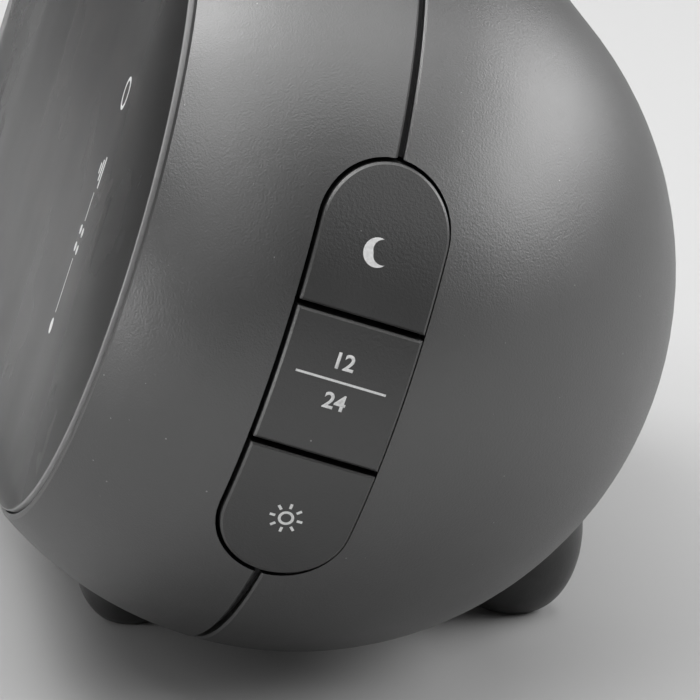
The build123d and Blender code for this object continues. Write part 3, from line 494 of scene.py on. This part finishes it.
def lay_print(name, shape, surface, finish, body):
    """Gives a flat drawing a film's thickness and lays it on a surface."""
    bmesh.ops.remove_doubles(shape, verts=shape.verts, dist=MERGE)
    film = bmesh.ops.extrude_face_region(shape, geom=shape.faces[:])
    raised = [part for part in film["geom"] if isinstance(part, bmesh.types.BMVert)]
    bmesh.ops.translate(shape, verts=raised, vec=(0.0, 0.0, FILM))
    for corner in shape.verts:
        corner.co = surface(corner.co.x, corner.co.y, corner.co.z - FILM_SINK)
    shape.normal_update()
    bmesh.ops.recalc_face_normals(shape, faces=shape.faces)
    keep_piece(name, shape, finish, body)


def print_right_keys():
    """Marks on the right end: night, hours and daylight."""
    night = bmesh.new()
    draw_crescent(night, (-0.2 * MM, UPPER_MARK), MOON_RADIUS, MOON_WIDTH, MOON_START, MOON_SWEEP)
    lay_print("right_upper_mark", night, key_surface(1), finishes["print"], "right_upper_key")

    hours = bmesh.new()
    draw_number(hours, "12", (-0.1 * MM, 0.75 * MM))
    draw_bar(hours, (0.05 * MM, -1.45 * MM), DIVIDER_LENGTH, DIVIDER_LINE)
    draw_number(hours, "24", (0.1 * MM, -3.6 * MM))
    lay_print("right_middle_mark", hours, key_surface(1), finishes["print"], "right_middle_key")

    daylight = bmesh.new()
    sun = Vector((-0.1 * MM, LOWER_MARK))
    draw_ring(daylight, sun, SUN_RADIUS, KEY_LINE)
    for ray in range(SUN_RAYS):
        turn = 2 * math.pi * ray / SUN_RAYS
        middle = sun + Vector((math.cos(turn), math.sin(turn))) * RAY_MIDDLE
        draw_bar(daylight, middle, RAY_LENGTH, KEY_LINE, turn)
    lay_print("right_lower_mark", daylight, key_surface(1), finishes["print"], "right_lower_key")


def print_left_keys():
    """Marks on the left end: a step up, a choice ring and a step down."""
    for level, height, turn in (("upper", UPPER_MARK, 0.0), ("lower", LOWER_MARK, math.pi)):
        step = bmesh.new()
        arrow = draw_disc(step, (0.0, height), STEP_RADIUS, sides=3)
        spin = Matrix.Rotation(turn, 3, "Z")
        bmesh.ops.rotate(step, verts=arrow["verts"], cent=(0.0, height, 0.0), matrix=spin)
        lay_print(f"left_{level}_mark", step, key_surface(-1), finishes["print"], f"left_{level}_key")
    choice = bmesh.new()
    draw_ring(choice, (0.0, RING_MARK), CHOICE_RADIUS, KEY_LINE)
    lay_print("left_middle_mark", choice, key_surface(-1), finishes["print"], "left_middle_key")


def print_window():
    """A column of small plain marks beside the digits, strung on thin lines."""
    marks = bmesh.new()
    draw_ring(marks, (MARK_COLUMN, RING_HEIGHT), RING_RADIUS, WINDOW_LINE)
    for shift, length in zip((-BAR_STEP, 0.0, BAR_STEP), BAR_LENGTHS):
        draw_bar(marks, (MARK_COLUMN + shift, BARS_HEIGHT), length, BAR_WIDTH, math.radians(90))
    for across in (-DOT_STEP, DOT_STEP):
        for rise in (-DOT_STEP, DOT_STEP):
            draw_disc(marks, (MARK_COLUMN + across, DOTS_HEIGHT + rise), DOT_RADIUS, sides=20)
    draw_disc(marks, (MARK_COLUMN, SPOT_HEIGHT), SPOT_RADIUS)
    threads = (
        (BARS_HEIGHT - BARS_CLEAR, DOTS_HEIGHT + DOTS_CLEAR),
        (DOTS_HEIGHT - DOTS_CLEAR, SPOT_HEIGHT + SPOT_CLEAR),
    )
    for top, bottom in threads:
        draw_bar(marks, (MARK_COLUMN, (top + bottom) / 2), THREAD_LINE, top - bottom)
    lay_print("window_marks", marks, window_surface, window_ink, "case")


print_right_keys()
print_left_keys()
print_window()


# The window, a hair clear of the wall behind it, because two faces in one plane would show as streaks

def clear_window():
    """The smoked plate with its back drawn off the wall by a hair."""
    shape = bmesh.new()
    shape.from_mesh(nodes["display_window"].data)
    bmesh.ops.remove_doubles(shape, verts=shape.verts, dist=MERGE)
    behind = WINDOW_FACE - WINDOW_THICKNESS / 2
    rear = [corner for corner in shape.verts if (CENTRE - corner.co).dot(BACK) < behind]
    bmesh.ops.translate(shape, verts=rear, vec=-BACK * WINDOW_CLEARANCE)
    plate = keep_piece("clear_window", shape, finishes["window"], "case")
    plate.data.shade_smooth()
    plate.data.set_sharp_from_angle(angle=math.radians(30))
    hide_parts("display_window")


clear_window()


# Screws with turned heads and cross recesses

def turn_screw(sizes):
    """A pan-headed screw that points down from its seat at the origin."""
    head, rise, shank, length = sizes
    outline = [(across * head, along * rise) for across, along in HEAD_OUTLINE]
    outline += [(shank, 0.0), (shank, POINT_LENGTH * shank - length)]
    outline += [(POINT_RADIUS * shank, -length), (0.0, -length)]
    shape = bmesh.new()
    corners = [shape.verts.new((across, 0.0, along)) for across, along in outline]
    edges = [shape.edges.new(pair) for pair in zip(corners, corners[1:])]
    bmesh.ops.spin(
        shape, geom=corners + edges, axis=(0.0, 0.0, 1.0), cent=(0.0, 0.0, 0.0), dvec=(0.0, 0.0, 0.0),
        angle=2 * math.pi, steps=SCREW_SIDES, use_merge=True,
    )
    bmesh.ops.remove_doubles(shape, verts=shape.verts, dist=MERGE)
    bmesh.ops.recalc_face_normals(shape, faces=shape.faces)
    return shape_to_mesh("screw", shape)


def cut_recess(mesh, sizes):
    """Cuts a cross recess into the head of a screw."""
    head, rise = sizes[:2]
    holder = add_object("screw", mesh)
    long_side, short_side = RECESS_LENGTH * head, RECESS_WIDTH * head
    tools = []
    for length, width in ((long_side, short_side), (short_side, long_side)):
        block = bmesh.new()
        size = Matrix.Diagonal((length, width, RECESS_DEPTH * rise, 1.0))
        bmesh.ops.create_cube(block, size=1.0, matrix=Matrix.Translation((0.0, 0.0, rise)) @ size)
        tool = add_object("recess", shape_to_mesh("recess", block))
        tools.append(tool)
        cut = holder.modifiers.new("recess", "BOOLEAN")
        cut.operation = "DIFFERENCE"
        cut.object = tool
    bpy.context.view_layer.update()
    whole = holder.evaluated_get(bpy.context.evaluated_depsgraph_get())
    cut_mesh = bpy.data.meshes.new_from_object(whole)
    for spare in (*tools, holder):
        spare_mesh = spare.data
        bpy.data.objects.remove(spare)
        bpy.data.meshes.remove(spare_mesh)
    return cut_mesh


def fit_screws(name, node, sizes, seats, outward):
    """Puts screws with their heads facing outward on their seats, in place of a node."""
    screw = cut_recess(turn_screw(sizes), sizes)
    turn = outward.to_track_quat("Z", "Y").to_matrix().to_4x4()
    shape = bmesh.new()
    for seat in seats:
        copy = screw.copy()
        copy.transform(Matrix.Translation(seat) @ turn)
        shape.from_mesh(copy)
        bpy.data.meshes.remove(copy)
    bpy.data.meshes.remove(screw)
    bmesh.ops.remove_doubles(shape, verts=shape.verts, dist=MERGE)
    piece = keep_piece(name, shape, finishes["steel"], "case")
    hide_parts(node)


case_seats = [
    CENTRE + RIGHT * x + UP * z + BACK * CASE_SCREW_SEAT
    for x in (-CASE_SCREW_X, CASE_SCREW_X)
    for z in (-CASE_SCREW_Z, CASE_SCREW_Z)
]
fit_screws("case_screws_turned", "housing_screws", CASE_SCREW_SIZES, case_seats, BACK)
hatch_out = BACK * math.cos(HATCH_ANGLE) - UP * math.sin(HATCH_ANGLE)
hatch_seat = CENTRE + RIGHT * HATCH_SCREW_X + hatch_out * HATCH_SCREW_SEAT
fit_screws("hatch_screw_turned", "hatch_screw", HATCH_SCREW_SIZES, [hatch_seat], hatch_out)


# Floor, light and camera

def floor():
    """A wide pale floor under the feet."""
    shape = bmesh.new()
    bmesh.ops.create_grid(shape, x_segments=1, y_segments=1, size=FLOOR_HALF)
    sheet = add_object("floor", shape_to_mesh("floor", shape))
    finish, _, shader = new_finish("floor_paper")
    shader.inputs["Base Color"].default_value = (*grey(FLOOR_TONE), 1.0)
    shader.inputs["Roughness"].default_value = 0.9
    shader.inputs["Specular IOR Level"].default_value = 0.1
    sheet.data.materials.append(finish)


def softbox(name, place, target, width, height, brightness):
    """A rectangular lamp that faces a point, with an even brightness over its face."""
    lamp = bpy.data.lights.new(name, "AREA")
    lamp.shape = "RECTANGLE"
    lamp.size = width
    lamp.size_y = height
    lamp.energy = 4 * brightness * width * height
    holder = add_object(name, lamp)
    aim = Vector(target) - Vector(place)
    holder.matrix_world = Matrix.Translation(place) @ aim.to_track_quat("-Z", "Y").to_matrix().to_4x4()
    holder.visible_camera = False


def studio_sky():
    """A dim surround with a pale band along the horizon."""
    world = bpy.data.worlds.new("studio")
    world.use_nodes = True
    tree = world.node_tree
    coords = tree.nodes.new("ShaderNodeTexCoord")
    split = tree.nodes.new("ShaderNodeSeparateXYZ")
    tree.links.new(coords.outputs["Generated"], split.inputs["Vector"])
    fade = add_ramp(tree, split.outputs["Z"], (0.05, grey(HORIZON_TONE)), (0.2, grey(SKY_TONE)))
    tree.links.new(fade, tree.nodes["Background"].inputs["Color"])
    bpy.context.scene.world = world


def photo_camera():
    """The photograph's view: close on the right end, from a little above."""
    toward = Vector((
        math.sin(VIEW_AZIMUTH) * math.cos(VIEW_ELEVATION),
        -math.cos(VIEW_AZIMUTH) * math.cos(VIEW_ELEVATION),
        math.sin(VIEW_ELEVATION),
    ))
    across = Vector((math.cos(VIEW_AZIMUTH), math.sin(VIEW_AZIMUTH), 0.0))
    upward = toward.cross(across)
    aim = CENTRE + RIGHT * HALF_BARREL + across * VIEW_ACROSS - upward * VIEW_DOWN
    lens = bpy.data.cameras.new("photo_camera")
    lens.sensor_width = SENSOR
    lens.lens = LENS
    lens.clip_start = 0.05
    lens.clip_end = 20.0
    holder = add_object("photo_camera", lens)
    turn = Matrix((across, upward, toward)).transposed().to_4x4()
    holder.matrix_world = Matrix.Translation(aim + toward * VIEW_DISTANCE) @ turn
    bpy.context.scene.camera = holder


floor()
for lamp_row in LAMPS:
    softbox(*lamp_row)
studio_sky()
photo_camera()
bpy.context.scene.view_settings.view_transform = "Standard"
